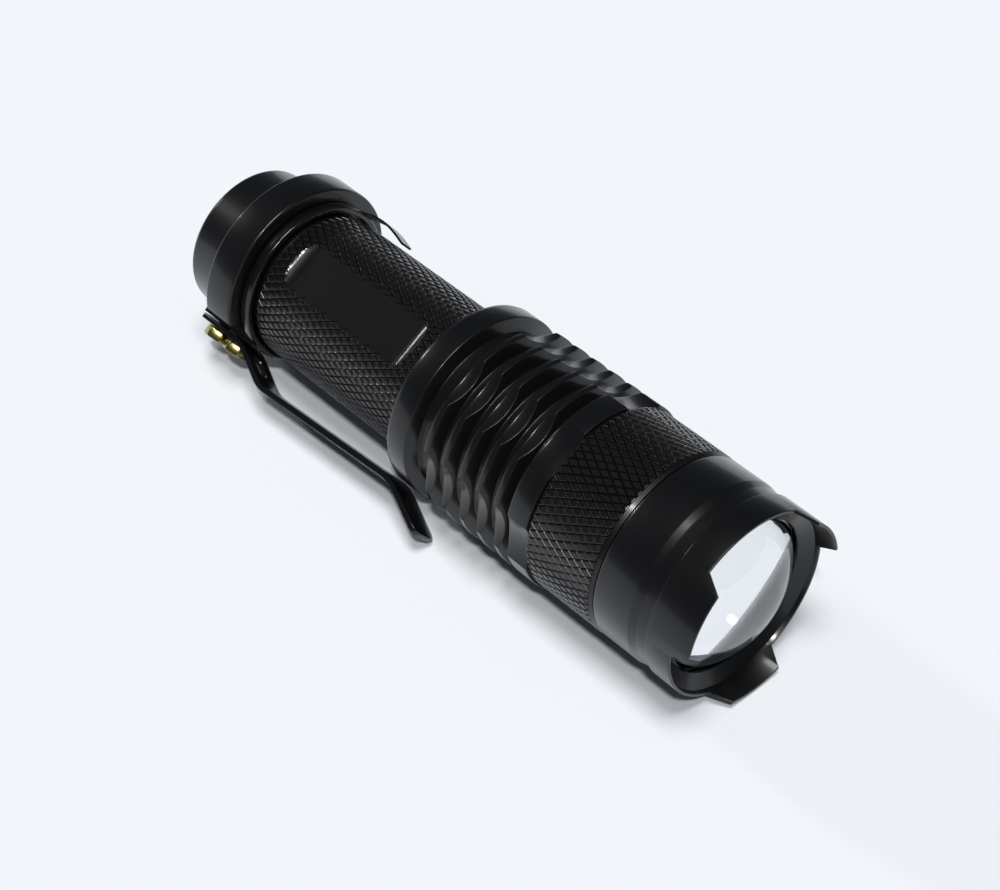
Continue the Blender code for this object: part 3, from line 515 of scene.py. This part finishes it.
# Moulded silicone rubber: a matt soft black with no clear highlight and a slightly rough skin.
RUBBER = grained("rubber", "131313", "1C1B1A", (0.62, 0.78), 0.2, 0.5)
dress(boot, RUBBER, "button", "rubber", "switch_boot", angle=40)

# ---------------------------------------------------------------------------------------------
# Clip band: sheet-steel ring round the tube's neck, with a tab under the clip and, opposite it, a thin
# bowed tongue that lies over the tube.
TAB_REAR = stations("clip_band")[0]
BAND_REAR, BAND_FRONT, BAND_R, BAND_BORE_R = 12.1, 13.5, 11.2, 10.45
band = turned(
    "looks_clip_band",
    rounded([
        (BAND_REAR, BAND_BORE_R, 0), (BAND_REAR, BAND_R, 0.12),
        (BAND_FRONT, BAND_R, 0.32), (BAND_FRONT, BAND_BORE_R, 0),
    ]),
    192,
)


def sheet(path, thickness):
    """Outline of a bent sheet whose middle follows a path of station and distance."""
    path = [Vector(point) for point in path]
    sides = ([], [])
    for index, here in enumerate(path):
        along = (path[min(index + 1, len(path) - 1)] - path[max(index - 1, 0)]).normalized()
        out = Vector((-along.y, along.x)) * thickness / 2
        sides[0].append(here + out)
        sides[1].append(here - out)
    return sides[0] + sides[1][::-1]


TONGUE_LENGTH, TONGUE_WIDTH, TONGUE_SHEET = 9.0, 2.4, 0.3
TONGUE_BOW, TONGUE_FALL, TONGUE_STEPS = 0.85, 0.025, 16
tongue_root = (BAND_REAR + BAND_FRONT) / 2
tongue_out = (BAND_R + BAND_BORE_R) / 2
arch = []
for step in range(TONGUE_STEPS + 1):
    share = step / TONGUE_STEPS
    rise = TONGUE_BOW * math.sin(math.pi * share) - TONGUE_FALL * share
    arch.append((tongue_root + TONGUE_LENGTH * share, tongue_out + rise))
boolean(band, strip("tongue", sheet(arch, TONGUE_SHEET), TONGUE_WIDTH, CLIP_ANGLE + 180), "UNION")
TAB_OUT, TAB_FRONT, TAB_SHEET, TAB_WIDTH = 10.95, 12.7, 0.6, 5.4
tab = sheet([(TAB_REAR, TAB_OUT), (TAB_FRONT, TAB_OUT)], TAB_SHEET)
boolean(band, strip("tab", tab, TAB_WIDTH, CLIP_ANGLE), "UNION")
OUTWARD = Vector((0, -math.sin(math.radians(CLIP_ANGLE)), math.cos(math.radians(CLIP_ANGLE))))
ROUND = 32


def pin(name, station, inner, outer, inner_r, outer_r, sides=ROUND):
    """A round or sided bar that stands out from the axis at the clip's angle."""
    bpy.ops.object.select_all(action="DESELECT")
    bpy.ops.mesh.primitive_cone_add(
        vertices=sides, radius1=inner_r * MM, radius2=outer_r * MM, depth=(outer - inner) * MM,
        location=spot(station, (inner + outer) / 2, CLIP_ANGLE),
        rotation=OUTWARD.to_track_quat("Z", "Y").to_euler(),
    )
    bar = bpy.context.object
    bar.name = bar.data.name = name
    bpy.ops.object.transform_apply(location=True, rotation=True, scale=True)
    return bar


SCREW_REAR, SCREW_FRONT = (sum(stations(f"clip_screw_{end}")) / 2 for end in ("rear", "front"))
SINK_R, HOLE_R = 1.8, 0.95
for station in (SCREW_REAR, SCREW_FRONT):
    boolean(band, pin("tab_hole", station, TAB_OUT - 0.45, TAB_OUT + 0.45, SINK_R, HOLE_R))
# Spring steel with a glossy black oxide: darker and smoother than the anodised pieces, so that it takes
# long clear highlights. The 0.3 mm grain is drawn coarse, and only just breaks them.
STEEL = grained("spring_steel", "0C0C0D", "121213", (0.14, 0.22), 0.3, 0.08)
dress(band, STEEL, "clip", "spring_steel", "clip_band")

# ---------------------------------------------------------------------------------------------
# Pocket clip: bent strip of glossy black spring steel, 5 mm wide and 0.7 mm thick, with a slot in its
# rise, a long arm that leans towards the head and a flared tip.
CLIP_REAR = stations("pocket_clip")[0]
CLIP_SHEET, CLIP_WIDTH, CLIP_FOOT_OUT = 0.7, 5.0, 11.8
RISE_AT, RISE_BEND = 10.8, 4.0
ARM_REAR, ARM_REAR_OUT, ARM_BEND = 17.2, 14.75, 5.0
FLARE_AT, FLARE_OUT, FLARE_BEND = 42.0, 13.65, 6.0
TIP, TIP_OUT, TIP_ROUND = 49.4, 17.0, 1.2
path = rounded([
    (CLIP_REAR, CLIP_FOOT_OUT, 0), (RISE_AT, CLIP_FOOT_OUT, RISE_BEND), (ARM_REAR, ARM_REAR_OUT, ARM_BEND),
    (FLARE_AT, FLARE_OUT, FLARE_BEND), (TIP, TIP_OUT, 0),
], 10)
clip = strip("looks_pocket_clip", sheet(path, CLIP_SHEET), CLIP_WIDTH, CLIP_ANGLE)


def at_tip_corner(one, other):
    """Whether an edge is one of the two short ones at the corners of the clip's tip."""
    return min(one[0], other[0]) > TIP - 0.5 and abs(one[2] - other[2]) < 2


def soften(piece, width, angle=30):
    """Round off the edges of a piece that turn by more than an angle."""
    step = piece.modifiers.new("edges", "BEVEL")
    step.width = width * MM
    step.segments = 2
    step.limit_method = "ANGLE"
    step.angle_limit = math.radians(angle)
    bpy.context.view_layer.objects.active = piece
    bpy.ops.object.modifier_apply(modifier=step.name)


select_edges(clip, at_tip_corner)
bpy.ops.mesh.bevel(offset=TIP_ROUND * MM, segments=5, affect="EDGES")
bpy.ops.object.mode_set(mode="OBJECT")
SLOT_AT, SLOT_HALF, SLOT_R, SLOT_IN, SLOT_OUT = 13.9, 0.7, 0.9, 10.9, 15.5
slot_rear, slot_front = SLOT_AT - SLOT_HALF, SLOT_AT + SLOT_HALF
for station in (slot_rear, slot_front):
    boolean(clip, pin("slot_end", station, SLOT_IN, SLOT_OUT, SLOT_R, SLOT_R))
slot = [(slot_rear, SLOT_IN), (slot_front, SLOT_IN), (slot_front, SLOT_OUT), (slot_rear, SLOT_OUT)]
boolean(clip, strip("slot", slot, 2 * SLOT_R, CLIP_ANGLE))
for station in (SCREW_REAR, SCREW_FRONT):
    boolean(clip, pin("clip_hole", station, CLIP_FOOT_OUT - 0.8, CLIP_FOOT_OUT + 0.8, HOLE_R, HOLE_R))
soften(clip, 0.12, 50)
dress(clip, STEEL, "clip", "spring_steel", "pocket_clip")

# ---------------------------------------------------------------------------------------------
# Clip screws and nuts: two countersunk screws come up through the tab and the clip, and a brass
# hexagon nut, 3.2 mm across its flats, holds each one.
SCREW_IN, SINK_OUT, SHANK_IN, SCREW_OUT = 10.7, 11.3, 11.2, 13.6
SCREW_HEAD_R, SHANK_R = 1.45, 0.8
NUT_IN, NUT_OUT, NUT_CORNER_R = 12.35, 13.75, 1.848
# Brass, turned and bright: a pale yellow metal, the only warm colour on the light.
BRASS = grained("brass", "9C9257", "B0A66B", (0.18, 0.30), 0.3, 0.1, {"Metallic": 1.0})


def copy_along(piece, name, move):
    """A copy of a piece with its own mesh, moved along the light."""
    bpy.ops.object.select_all(action="DESELECT")
    piece.select_set(True)
    bpy.context.view_layer.objects.active = piece
    bpy.ops.object.duplicate()
    copy = bpy.context.object
    copy.name = copy.data.name = name
    bpy.ops.transform.translate(value=(move * MM, 0, 0))
    bpy.ops.object.transform_apply(location=True, rotation=False, scale=False)
    return copy


screw = pin("looks_clip_screw_rear", SCREW_REAR, SCREW_IN, SINK_OUT, SCREW_HEAD_R, SHANK_R)
boolean(screw, pin("shank", SCREW_REAR, SHANK_IN, SCREW_OUT, SHANK_R, SHANK_R), "UNION")
nut = pin("looks_clip_nut_rear", SCREW_REAR, NUT_IN, NUT_OUT, NUT_CORNER_R, NUT_CORNER_R, 6)
boolean(nut, pin("nut_bore", SCREW_REAR, NUT_IN - 0.35, NUT_OUT + 0.25, HOLE_R, HOLE_R))
soften(nut, 0.2)
front_screw = copy_along(screw, "looks_clip_screw_front", SCREW_FRONT - SCREW_REAR)
front_nut = copy_along(nut, "looks_clip_nut_front", SCREW_FRONT - SCREW_REAR)
dress(screw, STEEL, "clip", "spring_steel", "clip_screw_rear")
dress(nut, BRASS, "clip", "brass", "clip_nut_rear")
dress(front_screw, STEEL, "clip", "spring_steel", "clip_screw_front")
dress(front_nut, BRASS, "clip", "brass", "clip_nut_front")

# ---------------------------------------------------------------------------------------------
# Inner pieces: the LED, its board and pill show through the lens; the cell, driver, switch and seals
# are closed in. Their CAD forms stay and get finishes of their own: white and green solder mask on
# the boards, moulded plastic, the LED's yellow phosphor and the cell's printed sleeve.
BOARD = grained("led_mask", "E4E6E4", "F0F1EE", (0.35, 0.45), 0.3, 0.1)
GREEN = grained("solder_mask", "12502C", "1A6338", (0.30, 0.42), 0.3, 0.1)
PLASTIC = grained("switch_plastic", "232323", "2C2B2A", (0.45, 0.55), 0.3, 0.2)
PHOSPHOR = grained("phosphor", "E3C33C", "EFD453", (0.55, 0.65), 0.1, 0.2)
JACKET = grained("cell_jacket", "23304F", "2B3A5C", (0.25, 0.35), 0.5, 0.1)
finishes = {
    "head_o_ring": RUBBER, "tail_o_ring": RUBBER, "lens_o_ring": RUBBER, "led_pill": BARE,
    "driver_board": GREEN, "driver_contact": BRASS, "led_board": BOARD, "led_emitter": PHOSPHOR,
    "led_dome": GLASS, "aa_cell": JACKET, "switch_body": PLASTIC, "switch_board": GREEN,
    "switch_retainer": BARE, "tail_spring": BRASS, "switch_plunger": PLASTIC,
}
for node, finish in finishes.items():
    inner = bpy.data.objects[node]
    inner.data.materials.clear()
    inner.data.materials.append(finish)

# ---------------------------------------------------------------------------------------------
# Stage: a sheet of pale paper under a weak even sky, and three distant soft lamps: one overhead, one
# over the camera's shoulder and one low behind the tail that draws the bright lines on the turned edges.
PAPER_SIZE = 60.0
bpy.ops.object.select_all(action="DESELECT")
bpy.ops.mesh.primitive_plane_add(size=PAPER_SIZE, location=(0, 0, 0))
paper = bpy.context.object
paper.name = "paper"
# Smooth white paper: matt, and a little cool.
PAPER, _, _ = new_material(
    "paper", {"Base Color": colour("F4F7FA"), "Roughness": 0.9, "Specular IOR Level": 0.1}
)
paper.data.materials.append(PAPER)

sky = bpy.data.worlds.new("sky")
sky.use_nodes = True
sky.node_tree.nodes.clear()
fill = add_node(sky, "ShaderNodeBackground", {"Color": colour("D6E4FF"), "Strength": 0.09})
add_node(sky, "ShaderNodeOutputWorld", {}, [("Surface", fill.outputs[0])])
bpy.context.scene.world = sky

for lamp_name, off, spread, strength in (
    ("top_lamp", Vector((0.14, -0.13, 0.95)), 20.0, 1.70),
    ("flash_lamp", Vector((0.42, -0.40, 0.85)), 4.5, 1.30),
    ("tail_lamp", Vector((-0.92, -0.16, 0.43)), 6.5, 0.40),
):
    bpy.ops.object.light_add(type="SUN", location=off, rotation=off.to_track_quat("Z", "Y").to_euler())
    lamp = bpy.context.object
    lamp.name = lamp_name
    lamp.data.angle = math.radians(spread)
    lamp.data.energy = strength

CAMERA_AT = Vector((205.44, -144.36, 200.2))
CAMERA_LOOK = Vector((-0.5311, 0.4892, -0.6918))
bpy.ops.object.camera_add(location=AXIS + CAMERA_AT * MM)
camera = bpy.context.object
camera.rotation_euler = CAMERA_LOOK.to_track_quat("-Z", "Y").to_euler()
camera.data.lens = 86.4
camera.data.sensor_width = 36.0
camera.data.clip_start = 10 * MM
bpy.context.scene.camera = camera
bpy.context.scene.view_settings.view_transform = "Standard"
